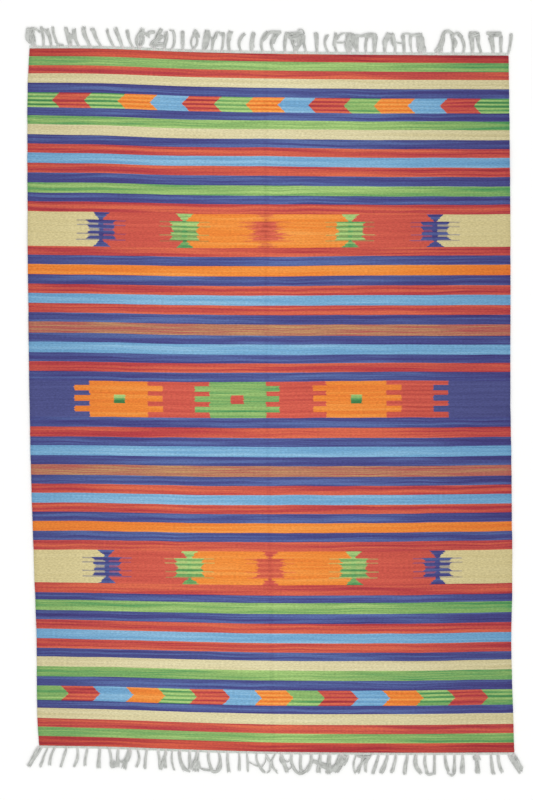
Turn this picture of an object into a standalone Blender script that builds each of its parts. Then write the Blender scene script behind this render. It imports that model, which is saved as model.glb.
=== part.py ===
"""A flat-woven kilim rug, laid out flat, with a tasselled fringe at each end.

Metres, +Z up. The rug lies on z = 0 with its length along Y: the far end is at +Y, the near end at -Y.
"""

import math

import bpy

# Driving sizes, in metres.
CLOTH_LENGTH = 2.323  # along the left edge, without the fringes
CLOTH_THICK = 0.004
FRINGE_THICK = 0.005
END_BAND = 0.008  # bare twined band that the tassels come out of
TASSEL_REACH = 0.063  # from the end band to the tips, on average
REACH_CHANGE = 0.06  # how much the reach changes from tassel to tassel, as a share
PIECE_GAP = 0.0003  # between the cloth and an end band

SIDE_POINTS = 48  # along each side edge
END_POINTS = 30  # along each end
MM = 0.001

# The side edges, which wander a little as hand-woven ones do.
# Share of the length from the far end, left edge and right edge in mm from the middle line.
SIDE_EDGES = [
    (0.00, -799, 798),
    (0.06, -805, 800),
    (0.24, -805, 804),
    (0.40, -802, 804),
    (0.50, -799, 804),
    (0.62, -793, 808),
    (0.77, -781, 810),
    (0.85, -775, 807),
    (0.96, -773, 814),
    (1.00, -766, 817),
]

# The woven lines sag and slant: how far each lies below its own left end, in mm.
# Share of the length from the far end, then the dip at each share of the width in DIP_PLACES.
DIP_PLACES = (0.0, 0.15, 0.33, 0.50, 0.75, 1.0)
DIPS = [
    (0.00, (0, 1, 12, 18, 22, 24)),
    (0.08, (0, 3, 13, 17, 21, 21)),
    (0.11, (0, 5, 15, 17, 20, 21)),
    (0.14, (0, 4, 12, 13, 18, 19)),
    (0.20, (0, 2, 9, 11, 14, 14)),
    (0.25, (0, 4, 9, 10, 10, 9)),
    (0.30, (0, 3, 7, 8, 4, 2)),
    (0.36, (0, 3, 8, 9, 8, 7)),
    (0.41, (0, 2, 9, 10, 11, 11)),
    (0.45, (0, 3, 8, 8, 6, 6)),
    (0.48, (0, 2, 6, 5, 1, 2)),
    (0.54, (0, 1, 4, 5, 4, 1)),
    (0.61, (0, 2, 7, 8, 8, 3)),
    (0.67, (0, 2, 8, 9, 8, 2)),
    (0.73, (0, 1, 6, 7, 6, -1)),
    (0.80, (0, 4, 10, 14, 13, 6)),
    (0.84, (0, 5, 13, 17, 18, 12)),
    (0.89, (0, 2, 10, 14, 15, 10)),
    (0.93, (0, 5, 14, 19, 19, 15)),
    (0.97, (0, 6, 16, 23, 25, 21)),
    (1.00, (0, 4, 14, 21, 24, 23)),
]

# The bunched warp ends, left to right, in mm: how far along the end each starts, how far its tip leans
# to the right, how far its middle bows to the right, and its width.
FAR_TASSELS = [
    (16, -12, -3, 26), (48, -9, 2, 11), (73, -16, 2, 13), (96, -20, -2, 10), (133, -13, 1, 13),
    (165, -16, -5, 13), (203, -22, -6, 15), (239, -31, -3, 13), (281, -21, -4, 12), (311, -24, -2, 14),
    (345, -19, -4, 11), (366, 16, -10, 14), (416, 26, -5, 16), (449, 8, 2, 14), (476, 2, 7, 11),
    (511, 0, 0, 14), (546, 7, 0, 18), (581, 13, -2, 18), (609, 17, -4, 11), (641, 5, 3, 11),
    (667, 5, -6, 15), (705, 14, -12, 11), (741, 8, -3, 16), (778, 18, -13, 13), (814, 12, -13, 12),
    (852, 7, -4, 13), (886, 2, 3, 19), (922, -8, -3, 12), (958, -2, 0, 14), (995, 2, -11, 10),
    (1025, -2, -7, 11), (1066, 0, 0, 24), (1093, -4, 0, 13), (1122, 6, -3, 12), (1151, -1, 0, 15),
    (1185, 10, -4, 13), (1219, -9, 3, 12), (1249, -6, 2, 12), (1275, -4, -3, 9), (1305, -7, 0, 22),
    (1361, 18, 4, 17), (1413, -7, 3, 12), (1446, -19, 11, 12), (1476, -4, 0, 15), (1505, -9, -3, 13),
    (1545, -9, 4, 13), (1572, 0, 0, 12), (1597, 9, 2, 12),
]
NEAR_TASSELS = [
    (8, -46, 0, 13), (28, -26, 0, 10), (52, -17, -5, 10), (91, -21, 0, 11), (127, -13, 7, 11),
    (160, -10, 0, 11), (201, -3, 0, 14), (234, 10, 0, 12), (263, -3, 0, 13), (300, -19, 0, 15),
    (327, -6, 9, 10), (358, -6, -1, 11), (396, 9, 0, 11), (421, 0, -2, 11), (443, 7, -4, 8),
    (468, 19, -6, 14), (501, 1, 0, 12), (528, -6, 0, 18), (564, 14, -6, 12), (598, -6, 7, 12),
    (628, 4, -2, 12), (667, 0, 0, 9), (693, 3, 0, 9), (725, 28, -11, 9), (756, 13, 7, 5),
    (786, 9, -13, 5), (807, 20, 0, 14), (841, 18, -8, 12), (873, 1, -3, 12), (906, -16, 7, 13),
    (938, -8, 0, 15), (968, -5, 0, 18), (1007, -20, 0, 24), (1057, -2, -8, 7), (1080, -17, 1, 8),
    (1107, -17, -10, 9), (1132, -21, 0, 12), (1161, -25, 4, 14), (1190, -16, 1, 12), (1228, -11, -1, 13),
    (1256, 15, -8, 15), (1287, 8, -5, 12), (1318, -1, 0, 11), (1353, 11, -3, 12), (1385, -3, 0, 12),
    (1412, -1, 0, 14), (1459, 3, 0, 17), (1506, 9, -2, 12), (1530, 14, -4, 12), (1566, 40, 0, 17),
]

CLOTH_COLOUR = (0.42, 0.13, 0.11)
FRINGE_COLOUR = (0.58, 0.59, 0.57)
COTTON_ROUGHNESS = 0.9


def smooth(at, places, values):
    """The value at one place on a smooth curve through the values given at the places."""
    last = len(places) - 1
    i = next((k for k in range(last) if at <= places[k + 1]), last - 1)
    span = places[i + 1] - places[i]
    t = (at - places[i]) / span

    def slope(k):
        before, after = max(k - 1, 0), min(k + 1, last)
        return (values[after] - values[before]) / (places[after] - places[before]) * span

    start, end = values[i], values[i + 1]
    ahead, behind = slope(i), slope(i + 1)
    return (
        start * (2 * t**3 - 3 * t**2 + 1)
        + ahead * (t**3 - 2 * t**2 + t)
        + end * (3 * t**2 - 2 * t**3)
        + behind * (t**3 - t**2)
    )


def side_x(along, column):
    """Where a side edge lies, in metres from the middle line: column 1 is the left edge, 2 the right."""
    return MM * smooth(along, [row[0] for row in SIDE_EDGES], [row[column] for row in SIDE_EDGES])


def cloth_point(across, along):
    """The point at these shares of the width, from the left, and of the length, from the far end."""
    left, right = side_x(along, 1), side_x(along, 2)
    dips = [smooth(across, DIP_PLACES, row) for _, row in DIPS]
    dip = MM * smooth(along, [row[0] for row in DIPS], dips)
    return left + (right - left) * across, CLOTH_LENGTH * (0.5 - along) - dip


def shares(count):
    """Evenly spaced shares from 0 to just under 1."""
    return [i / count for i in range(count)]


def cloth_outline():
    """The cloth's edge, clockwise from the far left corner."""
    far = [cloth_point(share, 0) for share in shares(END_POINTS)]
    right = [cloth_point(1, share) for share in shares(SIDE_POINTS)]
    near = [cloth_point(1 - share, 1) for share in shares(END_POINTS)]
    left = [cloth_point(0, 1 - share) for share in shares(SIDE_POINTS)]
    return far + right + near + left


def tassel_outline(base, outward, reach, lean, bow, width):
    """One tassel's edge, from the left side of its base round its tip to the right side."""
    sides = [(0.0, 0.5), (0.3, 0.46), (0.6, 0.5), (0.86, 0.5), (0.97, 0.3)]  # share of reach, half width

    def point(share, side):
        x = base[0] + lean * share + bow * 4 * share * (1 - share) + side * width
        return x, base[1] + outward * reach * share

    up = [point(share, -half) for share, half in sides]
    down = [point(share, half) for share, half in reversed(sides)]
    return [*up, point(1.0, 0), *down]


def comb_outline(along, outward, tassels):
    """The end band with its tassels, along the end of the cloth at this share of the length."""
    width = side_x(along, 2) - side_x(along, 1)

    def edge_point(across, away):
        x, y = cloth_point(across, along)
        return x, y + outward * away

    outer = PIECE_GAP + END_BAND
    edge = [edge_point(0, outer)]
    for i, (at, lean, bow, wide) in enumerate(tassels):
        x, y = edge_point(MM * at / width, outer)
        reach = TASSEL_REACH * (1 + REACH_CHANGE * math.sin(2.3 * i))
        edge += tassel_outline((x, y), outward, reach, MM * lean, MM * bow, MM * wide)
    edge.append(edge_point(1, outer))
    inner = [edge_point(share, PIECE_GAP) for share in [1.0, *reversed(shares(END_POINTS))]]
    return edge + inner


def woven_material(name, colour):
    """Matt cotton of one colour."""
    material = bpy.data.materials.new(name)
    material.use_nodes = True
    shader = material.node_tree.nodes["Principled BSDF"]
    shader.inputs["Base Color"].default_value = (*colour, 1)
    shader.inputs["Roughness"].default_value = COTTON_ROUGHNESS
    shader.inputs["Metallic"].default_value = 0
    return material


def flat_piece(name, outline, thick, material, collection):
    """A flat closed piece with this outline, lying on z = 0."""
    curve = bpy.data.curves.new(name, "CURVE")
    curve.dimensions = "2D"
    curve.fill_mode = "BOTH"
    curve.extrude = thick / 2
    spline = curve.splines.new("POLY")
    spline.points.add(len(outline) - 1)
    for point, (x, y) in zip(spline.points, outline):
        point.co = (x, y, 0, 1)
    spline.use_cyclic_u = True
    curve.materials.append(material)
    piece = bpy.data.objects.new(name, curve)
    piece.location.z = thick / 2
    collection.objects.link(piece)
    return piece


def centred(outlines):
    """The outlines moved so that the middle of the box round them all is at the origin."""
    points = [point for outline in outlines for point in outline]
    middle = [(min(axis) + max(axis)) / 2 for axis in zip(*points)]
    return [[(x - middle[0], y - middle[1]) for x, y in outline] for outline in outlines]


def build():
    for obj in list(bpy.data.objects):
        bpy.data.objects.remove(obj, do_unlink=True)
    rug = bpy.data.collections.new("kilim_rug")
    bpy.context.scene.collection.children.link(rug)
    weave = woven_material("flat_woven_cotton", CLOTH_COLOUR)
    far_warp = woven_material("far_warp_cotton", FRINGE_COLOUR)
    near_warp = woven_material("near_warp_cotton", FRINGE_COLOUR)
    cloth, far, near = centred(
        [cloth_outline(), comb_outline(0, 1, FAR_TASSELS), comb_outline(1, -1, NEAR_TASSELS)]
    )
    flat_piece("kilim_cloth", cloth, CLOTH_THICK, weave, rug)
    flat_piece("fringe_far", far, FRINGE_THICK, far_warp, rug)
    flat_piece("fringe_near", near, FRINGE_THICK, near_warp, rug)


build()
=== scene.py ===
import math
import random
from functools import partial

import bpy
import numpy as np
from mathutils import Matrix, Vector, noise


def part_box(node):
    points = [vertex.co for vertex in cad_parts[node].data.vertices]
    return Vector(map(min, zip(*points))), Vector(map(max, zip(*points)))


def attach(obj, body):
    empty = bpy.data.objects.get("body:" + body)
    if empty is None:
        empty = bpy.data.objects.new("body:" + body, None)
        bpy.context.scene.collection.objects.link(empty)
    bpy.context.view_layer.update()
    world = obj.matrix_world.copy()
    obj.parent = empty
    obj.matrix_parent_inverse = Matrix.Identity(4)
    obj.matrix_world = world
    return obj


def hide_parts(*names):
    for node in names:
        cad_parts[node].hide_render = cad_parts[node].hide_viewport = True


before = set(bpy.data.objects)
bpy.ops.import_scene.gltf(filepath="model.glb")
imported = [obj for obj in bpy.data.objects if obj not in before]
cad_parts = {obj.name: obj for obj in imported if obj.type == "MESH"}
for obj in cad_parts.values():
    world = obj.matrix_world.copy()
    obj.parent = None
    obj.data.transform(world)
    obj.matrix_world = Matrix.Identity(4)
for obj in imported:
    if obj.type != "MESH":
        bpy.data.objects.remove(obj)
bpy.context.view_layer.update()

bpy.ops.object.select_all(action="DESELECT")

mm = 0.001

# the plan of the rug, the same as the frame's: lengths in mm, places as shares of the length
# from the far end or of the width from the left
endToEnd = 2323

# share of the length, left edge and right edge from the middle line
sideEdges = [
    (0.00, -799, 798),
    (0.06, -805, 800),
    (0.24, -805, 804),
    (0.40, -802, 804),
    (0.50, -799, 804),
    (0.62, -793, 808),
    (0.77, -781, 810),
    (0.85, -775, 807),
    (0.96, -773, 814),
    (1.00, -766, 817),
]

# share of the length, and how far the woven line there sags at each of dipPlaces
dipPlaces = (0.0, 0.15, 0.33, 0.50, 0.75, 1.0)
dips = [
    (0.00, (0, 1, 12, 18, 22, 24)),
    (0.08, (0, 3, 13, 17, 21, 21)),
    (0.11, (0, 5, 15, 17, 20, 21)),
    (0.14, (0, 4, 12, 13, 18, 19)),
    (0.20, (0, 2, 9, 11, 14, 14)),
    (0.25, (0, 4, 9, 10, 10, 9)),
    (0.30, (0, 3, 7, 8, 4, 2)),
    (0.36, (0, 3, 8, 9, 8, 7)),
    (0.41, (0, 2, 9, 10, 11, 11)),
    (0.45, (0, 3, 8, 8, 6, 6)),
    (0.48, (0, 2, 6, 5, 1, 2)),
    (0.54, (0, 1, 4, 5, 4, 1)),
    (0.61, (0, 2, 7, 8, 8, 3)),
    (0.67, (0, 2, 8, 9, 8, 2)),
    (0.73, (0, 1, 6, 7, 6, -1)),
    (0.80, (0, 4, 10, 14, 13, 6)),
    (0.84, (0, 5, 13, 17, 18, 12)),
    (0.89, (0, 2, 10, 14, 15, 10)),
    (0.93, (0, 5, 14, 19, 19, 15)),
    (0.97, (0, 6, 16, 23, 25, 21)),
    (1.00, (0, 4, 14, 21, 24, 23)),
]

# the weft bands from the far end to the near one: a yarn or a pattern, and its width
weftPlan = [
    ("ruby", 26), ("green", 30), ("red", 27), ("cream", 31), ("blue", 32),
    ("farArrows", 50),
    ("blue", 27), ("green", 29), ("cream", 34), ("blue", 31), ("red", 30), ("sky", 34),
    ("red", 32), ("blue", 33), ("green", 34), ("blue", 29), ("red", 33),
    ("farCombs", 115),
    ("red", 30), ("blue", 31), ("orange", 34), ("blue", 32), ("red", 31), ("sky", 33),
    ("red", 31), ("blue", 31), ("marl", 37), ("blue", 30), ("sky", 35), ("blue", 30),
    ("red", 32), ("blue", 32),
    ("blocks", 121),
    ("blue", 33), ("red", 33), ("blue", 29), ("sky", 33), ("blue", 30), ("marl", 35),
    ("blue", 30), ("red", 30), ("sky", 33), ("red", 30), ("blue", 31), ("orange", 33),
    ("blue", 31), ("red", 32),
    ("nearCombs", 109),
    ("red", 33), ("blue", 24), ("green", 35), ("blue", 31), ("red", 31), ("sky", 32),
    ("red", 32), ("blue", 29), ("cream", 33), ("green", 33), ("blue", 31),
    ("nearArrows", 48),
    ("blue", 26), ("cream", 34), ("red", 29), ("green", 31), ("ruby", 32),
]


def smooth(at, places, values):
    # a smooth curve through the values given at the places
    last = len(places) - 1
    i = next((k for k in range(last) if at <= places[k + 1]), last - 1)
    span = places[i + 1] - places[i]
    t = (at - places[i]) / span

    def slope(k):
        before, after = max(k - 1, 0), min(k + 1, last)
        return (values[after] - values[before]) / (places[after] - places[before]) * span

    return (
        values[i] * (2 * t**3 - 3 * t**2 + 1)
        + slope(i) * (t**3 - 2 * t**2 + t)
        + values[i + 1] * (3 * t**2 - 2 * t**3)
        + slope(i + 1) * (t**3 - t**2)
    )


def sideX(along, column):
    # column 1 is the left edge, and 2 the right
    return mm * smooth(along, [row[0] for row in sideEdges], [row[column] for row in sideEdges])


def dipsUnder(across):
    # the dips under one place of the width, a number for each row of the table
    return [smooth(across, dipPlaces, row) for _, row in dips]


def loomPoint(across, along, under):
    # where these shares of the width and the length lie before the rug is centred, over the dips
    # that are under this place of the width
    left, right = sideX(along, 1), sideX(along, 2)
    dip = smooth(along, [row[0] for row in dips], under)
    return left + (right - left) * across, mm * (endToEnd * (0.5 - along) - dip)


def centring():
    # what brings the loom's middle to the frame's, from the low corner of the cloth in the frame
    shares = [i / 100 for i in range(101)]
    sides = [loomPoint(side, share, dipsUnder(side)) for side in (0, 1) for share in shares]
    ends = [loomPoint(share, end, dipsUnder(share)) for end in (0, 1) for share in shares]
    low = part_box("kilim_cloth")[0]
    return low.x - min(p[0] for p in sides + ends), low.y - min(p[1] for p in sides + ends)


shiftX, shiftY = centring()


def waver(x, y, layer, size):
    # gentle unevenness from -1 to 1 that changes over this many metres, the same each run; each
    # layer has its own
    return noise.noise(Vector((x / size, y / size, 7.3 * layer)))


def linear(hexColour):
    # sRGB hex to linear red, green, blue and alpha
    parts = [int(hexColour[i:i + 2], 16) / 255 for i in (0, 2, 4)]
    return [*(c / 12.92 if c <= 0.04045 else ((c + 0.055) / 1.055) ** 2.4 for c in parts), 1.0]


# settings that many nodes share
plus, minus = {"operation": "ADD"}, {"operation": "SUBTRACT"}
times, timesPlus = {"operation": "MULTIPLY"}, {"operation": "MULTIPLY_ADD"}
sine, cosine, absolute = {"operation": "SINE"}, {"operation": "COSINE"}, {"operation": "ABSOLUTE"}
isUnder, larger = {"operation": "LESS_THAN"}, {"operation": "MAXIMUM"}
clamped = {"use_clamp": True}
flatNoise = {"noise_dimensions": "2D"}
# a Mix node's share is its input 0; it goes from input 6 to 7 and out at 2 for colours, and from
# input 2 to 3 for numbers
ofColours, ofNumbers = {"data_type": "RGBA"}, {"data_type": "FLOAT"}


def addNode(tree, kind, settings, inputs, output=0):
    # one shader node: its settings, then its inputs, which are values or sockets to link
    node = tree.nodes.new("ShaderNode" + kind)
    for name, value in settings.items():
        if name == "stops":
            # a ramp, which holds each colour up to the next stop unless "between" says otherwise
            node.color_ramp.interpolation = settings.get("between", "CONSTANT")
            elements = node.color_ramp.elements
            elements.remove(elements[1])
            elements[0].position, elements[0].color = value[0]
            for place, colour in value[1:]:
                elements.new(place).color = colour
        elif name != "between":
            setattr(node, name, value)
    for name, value in inputs.items() if isinstance(inputs, dict) else enumerate(inputs):
        if isinstance(value, bpy.types.NodeSocket):
            tree.links.new(value, node.inputs[name])
        else:
            node.inputs[name].default_value = value
    return node.outputs[output]


def lookUp(add, place, rows):
    # the numbers of the row that this place is in; a row is where it starts, then its numbers,
    # which go three to a ramp, as its red, green and blue
    found = []
    for k in range(1, len(rows[0]), 3):
        threes = [(*row[k:k + 3], 0, 0)[:3] for row in rows]
        stops = [(row[0], (*three, 1)) for row, three in zip(rows, threes)]
        ramp = add("ValToRGB", {"stops": stops}, {"Fac": place})
        found += [add("SeparateColor", {}, {"Color": ramp}, key) for key in ("Red", "Green", "Blue")]
    return found[:len(rows[0]) - 1]


def grey(value):
    return (value, value, value, 1)


def newMaterial(name, finish):
    # a matt material with this finish, its shader, and what adds nodes to it
    material = bpy.data.materials.new(name)
    material.use_nodes = True
    shader = material.node_tree.nodes["Principled BSDF"]
    shader.inputs["Roughness"].default_value = finish["roughness"]
    shader.inputs["Sheen Weight"].default_value = finish["sheen"]
    shader.inputs["Specular IOR Level"].default_value = finish["specular"]
    return material, shader, partial(addNode, material.node_tree)


# studio: even light from all round with one soft sun, and the camera straight above
studio = {
    "lens": 130,
    "sensor": 36,
    "viewHeight": 2.667,  # of floor, from the top of the view to the bottom
    "aim": (-0.027, 0.002),  # the rug lies a little to the right in the view
    "skyLight": 0.80,
    "sunLight": 1.15,
    "sunTilt": (38, 0, 35),  # degrees
    "sunSoftness": 50,  # degrees
    "floorSize": 240,
    "floorGap": 0.0005,  # how far the floor is under zero
    "floorColour": "f7f7f6",
    "floorFinish": {"roughness": 0.9, "sheen": 0, "specular": 0.1},
}


def setUpStudio():
    scene = bpy.context.scene
    scene.view_settings.view_transform = "Standard"
    scene.world = bpy.data.worlds.new("studioSky")
    scene.world.use_nodes = True
    sky = scene.world.node_tree.nodes["Background"]
    sky.inputs["Color"].default_value = (1, 1, 1, 1)
    sky.inputs["Strength"].default_value = studio["skyLight"]

    tilt = [math.radians(angle) for angle in studio["sunTilt"]]
    bpy.ops.object.light_add(type="SUN", location=(0, 0, 5), rotation=tilt)
    sun = bpy.context.object
    sun.name = "softSun"
    sun.data.energy = studio["sunLight"]
    sun.data.angle = math.radians(studio["sunSoftness"])

    bpy.ops.mesh.primitive_plane_add(size=studio["floorSize"], location=(0, 0, -studio["floorGap"]))
    floor = bpy.context.object
    floor.name = "paleFloor"
    # rolled matt paint on board, almost white, so that only soft contact shadows show
    material, shader, _ = newMaterial("rolled matt white paint", studio["floorFinish"])
    shader.inputs["Base Color"].default_value = linear(studio["floorColour"])
    floor.data.materials.append(material)

    height = studio["viewHeight"] * studio["lens"] / studio["sensor"]
    bpy.ops.object.camera_add(location=(*studio["aim"], height), rotation=(0, 0, 0))
    camera = bpy.context.object
    camera.name = "overheadCamera"
    camera.data.lens = studio["lens"]
    camera.data.sensor_width = studio["sensor"]
    scene.camera = camera


setUpStudio()
print("studio ready")

# the dyed yarns: sRGB colours of the usual, the paler and the deeper dye lots, then how strongly
# the lots show as long streaks and as fine lines
yarns = {
    "red": ("be5145", "d2674a", "ab3a42", 0.90, 0.40),
    "green": ("83a963", "a5c679", "4f9259", 0.60, 0.45),
    "cream": ("d1c79d", "dad2ab", "c6bb8d", 0.50, 0.30),
    "blue": ("484f86", "586b9f", "413d78", 0.80, 0.45),
    "sky": ("72a3c6", "8ab5d2", "6495bd", 0.65, 0.40),
    "orange": ("e28335", "e99a4c", "d97030", 0.50, 0.30),
    "marl": ("aa705a", "b98d62", "ae5352", 0.40, 0.95),
    "navy": ("4e5286", "5a6196", "434678", 0.35, 0.30),
    "madder": ("c35446", "d0604e", "b84a42", 0.50, 0.35),
    "straw": ("d0c391", "d8cc9c", "c6b884", 0.25, 0.20),
    "ruby": ("b3463e", "cb5a43", "a13139", 0.95, 0.45),
}
yarnSlots = 16  # a yarn is a number from 0 to 1 in steps of a sixteenth


def yarnNumber(name):
    return list(yarns).index(name) / yarnSlots


# weft-faced plain weave: sizes in metres
weave = {
    "drift": 0.010,  # of the wefts up and down
    "driftSize": 0.2,
    "lotLength": 0.70,  # a streak of one dye lot
    "lotThickness": 0.011,
    "lineLength": 0.20,  # a fine line of weft
    "lineThickness": 0.0030,
    "grainLength": 0.009,
    "grainThickness": 0.0030,  # real wefts are 1.2 mm thick, and drawn coarser so that they show
    "lotRange": (0.32, 0.68),  # of each noise, from its deepest to its palest
    "lineRange": (0.30, 0.70),
    "grainRange": (0.25, 0.75),
    "grainShade": 0.14,  # how much lighter or darker a grain is
    "paintedLightTone": 2.0,  # how far the painted light and shade across the width move the yarns to their paler or deeper lots
    "paintedLightShade": 0.5,  # and how much lighter or darker the painted light and shade make them
    "deepTones": (-2.0, -0.9),  # tones that grow darker still, down to deepestShade
    "deepestShade": 0.62,
    "warpPitch": 0.0046,
    "weftPitch": 0.0024,
    "reliefHeight": 0.0006,
    "reliefStrength": 0.6,
    "lineRelief": 1.6,  # of the lines and of the warp crossings, against the grain's
    "crossingRelief": 0.35,
    "roughness": 0.92,
    "sheen": 0.05,
    "specular": 0.15,
}

# how light the cloth is painted at shares of its width: painted light in the middle, and
# painted shade towards the selvages, where the light falls off, and faintly down the old fold
acrossPaintedLight = [
    (0.0, 0.80), (0.010, 0.90), (0.03, 0.89), (0.07, 0.91), (0.10, 0.95), (0.19, 1.02), (0.30, 1.08),
    (0.42, 1.09), (0.486, 1.11), (0.494, 1.03), (0.502, 1.11), (0.52, 1.09), (0.63, 1.03),
    (0.73, 0.99), (0.82, 0.92), (0.88, 0.86), (0.93, 0.82), (0.985, 0.80), (1.0, 0.70),
]


def weftStreaks(add):
    # noises stretched along the wefts, which drift a little as beaten-down wefts do
    place = add("UVMap", {"uv_map": "weave"}, {})
    drift = {"Vector": place, "Scale": 1 / weave["driftSize"], "Detail": 1.0}
    drift = add("TexNoise", flatNoise, drift)
    drift = add("Math", timesPlus, (drift, weave["drift"], -weave["drift"] / 2))
    drift = add("CombineXYZ", {}, {"Y": drift})
    place = add("VectorMath", plus, (place, drift))
    streaks = {}
    for name, seed, detail in (("lot", 3, 2.0), ("line", 11, 2.0), ("grain", 23, 1.0)):
        scale = (1 / weave[name + "Length"], 1 / weave[name + "Thickness"], 1)
        spread = add("Mapping", {}, {"Vector": place, "Scale": scale, "Location": (seed, seed, 0)})
        streaks[name] = add("TexNoise", flatNoise, {"Vector": spread, "Scale": 1.0, "Detail": detail})
    streaks["ragged"] = add("Math", minus, (streaks["grain"], 0.5))
    # painted light and shade across the width: lighter in the middle, darker at the sides and the fold
    across = add("SeparateXYZ", {}, {"Vector": place}, "X")
    across = add("Math", {"operation": "DIVIDE"}, (across, cloth["width"]))
    stops = [(share, grey(tone / 2)) for share, tone in acrossPaintedLight]  # a ramp holds 0 to 1
    fade = add("ValToRGB", {"stops": stops, "between": "EASE"}, {"Fac": across})
    streaks["fade"] = add("Math", timesPlus, (fade, 2.0, -1.0))
    return streaks


def dyedCotton(add, number, tone, streaks):
    # the colour of the yarn with this number; tone runs from -1, the deepest lot, to 1, the palest
    yarn = add("Math", plus, (number, 0.5 / yarnSlots))
    lots = []
    for column in range(3):
        stops = [(yarnNumber(name), linear(row[column])) for name, row in yarns.items()]
        lots.append(add("ValToRGB", {"stops": stops}, {"Fac": yarn}))
    usual, paler, deeper = lots
    inLots, inLines = lookUp(add, yarn, [(yarnNumber(name), *row[3:]) for name, row in yarns.items()])
    for key, strength in (("lot", inLots), ("line", inLines)):
        swing = add("MapRange", {}, (streaks[key], *weave[key + "Range"], -1.0, 1.0))
        tone = add("Math", timesPlus, (swing, strength, tone))
    # the painted light and shade across the width move the yarn to its paler or deeper lot
    tone = add("Math", timesPlus, (streaks["fade"], weave["paintedLightTone"], tone))
    deep = add("Math", times | clamped, (tone, -1.0))
    pale = add("Math", plus | clamped, (tone, 0.0))
    colour = add("Mix", ofColours, {0: pale, 6: usual, 7: paler}, 2)
    colour = add("Mix", ofColours, {0: deep, 6: colour, 7: deeper}, 2)

    shades = (1 - weave["grainShade"], 1 + weave["grainShade"])
    grain = add("MapRange", {}, (streaks["grain"], *weave["grainRange"], *shades))
    deepest = add("MapRange", {}, (tone, *weave["deepTones"], weave["deepestShade"], 1.0))
    # painted light and shade across the width, times the grain and the deepest lots' darkening
    shade = add("Math", timesPlus, (streaks["fade"], weave["paintedLightShade"], 1.0))
    for share in (grain, deepest):
        shade = add("Math", times, (shade, share))
    return add("VectorMath", {"operation": "SCALE"}, {0: colour, "Scale": shade})


def weftRelief(add, streaks):
    # wefts that bulge between the hidden warps
    place = add("UVMap", {"uv_map": "weave"}, {})
    waves = []
    for axis, pitch in (("X", weave["warpPitch"]), ("Y", weave["weftPitch"])):
        run = add("SeparateXYZ", {}, {"Vector": place}, axis)
        run = add("Math", times, (run, math.pi / pitch))
        waves.append(add("Math", sine, (run,)))
    crossing = add("Math", times, (waves[0], waves[1]))
    height = add("Math", timesPlus, (streaks["line"], weave["lineRelief"], streaks["grain"]))
    height = add("Math", timesPlus, (crossing, weave["crossingRelief"], height))
    relief = {"Strength": weave["reliefStrength"], "Distance": weave["reliefHeight"], "Height": height}
    return add("Bump", {}, relief)


def wovenCotton(name, pattern):
    # matt cotton, weft-faced: no gloss, the faint sheen of loose fibre, and fine ribs
    material, shader, add = newMaterial(name, weave)
    streaks = weftStreaks(add)
    material.node_tree.links.new(pattern(add, streaks), shader.inputs["Base Color"])
    material.node_tree.links.new(weftRelief(add, streaks), shader.inputs["Normal"])
    return material


def plainStripes(add, streaks):
    number = add("Attribute", {"attribute_name": "yarn"}, {}, "Fac")
    return dyedCotton(add, number, 0.0, streaks)


def bandPlace(add):
    # how far a place is across its band and down it, as shares
    share = add("UVMap", {"uv_map": "share"}, {})
    return [add("SeparateXYZ", {}, {"Vector": share}, axis) for axis in "XY"]


def linePairs(add, down, pairs, start=0.0):
    # pale and deep lines down a band, from 1 to -1; start is how far into a pair they begin
    turn = 2 * math.pi
    line = add("Math", timesPlus, (down, turn * pairs, turn * start))
    return add("Math", cosine, (line,))


# arrow bands: the cells in order from the band's own start, which is the left of the far band
# and the right of the near one: yarn, then for the far and the near band the place of its tip as
# a share of the width, and how strongly it is lined
arrows = {
    "cells": [
        ("green", (0.000, 1.0), (0.000, 0.4)), ("red", (0.049, 0.5), (0.050, 0.15)),
        ("green", (0.116, 0.9), (0.119, 0.6)), ("orange", (0.186, 0.5), (0.186, 0.4)),
        ("sky", (0.253, 0.1), (0.257, 0.4)), ("red", (0.320, 0.9), (0.324, 0.6)),
        ("green", (0.386, 0.5), (0.393, 0.3)), ("orange", (0.453, 0.7), (0.460, 0.7)),
        ("sky", (0.516, 0.2), (0.526, 0.1)), ("red", (0.582, 0.9), (0.593, 0.8)),
        ("green", (0.653, 0.4), (0.661, 1.0)), ("orange", (0.716, 0.6), (0.729, 0.15)),
        ("sky", (0.786, 0.3), (0.796, 0.1)), ("red", (0.853, 0.2), (0.864, 0.8)),
        ("green", (0.924, 0.75), (0.931, 0.2)),
    ],
    "depth": 0.0155,  # from a tip back to its corners, as a share of the width
    "ragged": 0.006,
    "lines": 3.7,  # pale and deep pairs down the height of a band
    "contrast": -1.4,  # a deep line comes first
}


def arrowBand(column, add, streaks):
    across, down = bandPlace(add)
    slant = add("Math", timesPlus, (down, 2.0, -1.0))
    slant = add("Math", absolute, (slant,))
    place = add("Math", timesPlus, (slant, -arrows["depth"], across))
    place = add("Math", timesPlus, (streaks["ragged"], arrows["ragged"], place))
    cells = [(row[column][0], yarnNumber(row[0]), row[column][1]) for row in arrows["cells"]]
    number, lined = lookUp(add, place, cells)
    lined = add("Math", times, (lined, arrows["contrast"]))
    line = add("Math", times, (linePairs(add, down, arrows["lines"]), lined))
    return dyedCotton(add, number, line, streaks)


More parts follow.
